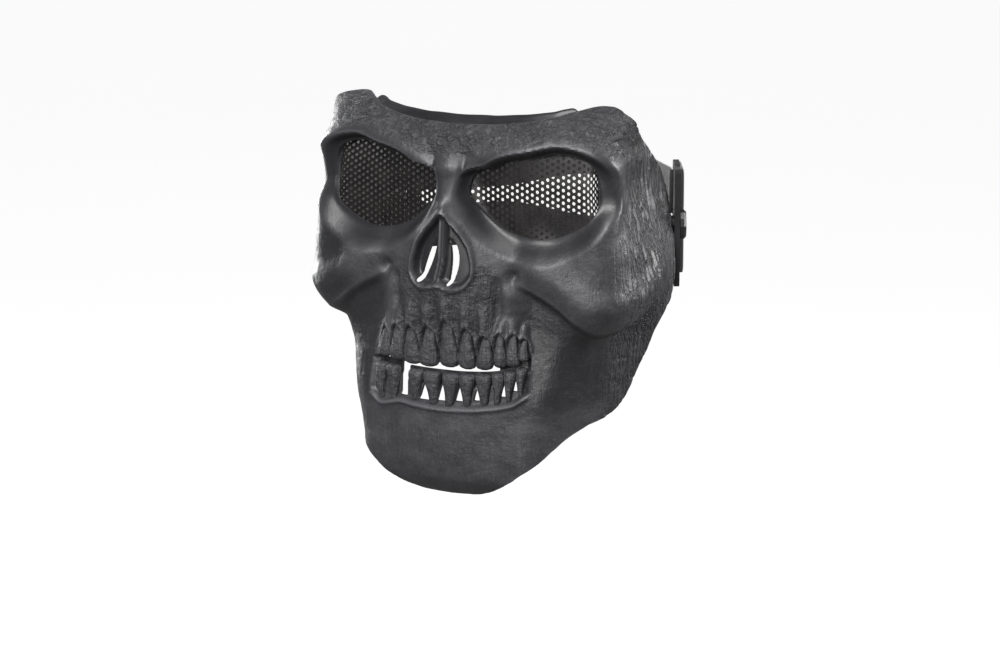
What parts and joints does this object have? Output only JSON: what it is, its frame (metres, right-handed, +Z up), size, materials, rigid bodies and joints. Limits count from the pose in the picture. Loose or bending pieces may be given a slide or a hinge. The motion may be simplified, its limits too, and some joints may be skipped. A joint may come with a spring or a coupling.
{
  "type": "skull mask",
  "caption": "Hard full-face mask in the form of a skull, with pierced steel eye screens, a forehead trim strip and head straps on swivelling side plates.",
  "frame": {"origin": "where a head sits: on the mask's middle plane, at the height of the two side pivots, on the upright axis of the head", "axes": "+Z up along the face, -Y out of the face to the front, +X to the wearer's left"},
  "size_m": [0.207, 0.1829, 0.2187],
  "materials": {
    "bone": "charcoal moulded plastic, semi-matt, with a pitted and grooved bone texture",
    "screen": "black-coated pierced steel sheet with a worn, slightly glossy coat",
    "trim": "smooth glossy black moulding",
    "hardware": "black moulded plastic, slightly glossy",
    "webbing": "black woven elastic webbing"
  },
  "bodies": {
    "root": {"mask_shell": "bone", "eye_screen_left": "screen", "eye_screen_right": "screen", "forehead_strip": "trim", "strap_plate_left": "hardware", "strap_plate_right": "hardware", "pivot_screw_left": "hardware", "pivot_screw_right": "hardware", "strap_upper": "webbing", "strap_lower": "webbing"}
  },
  "joints": []
}
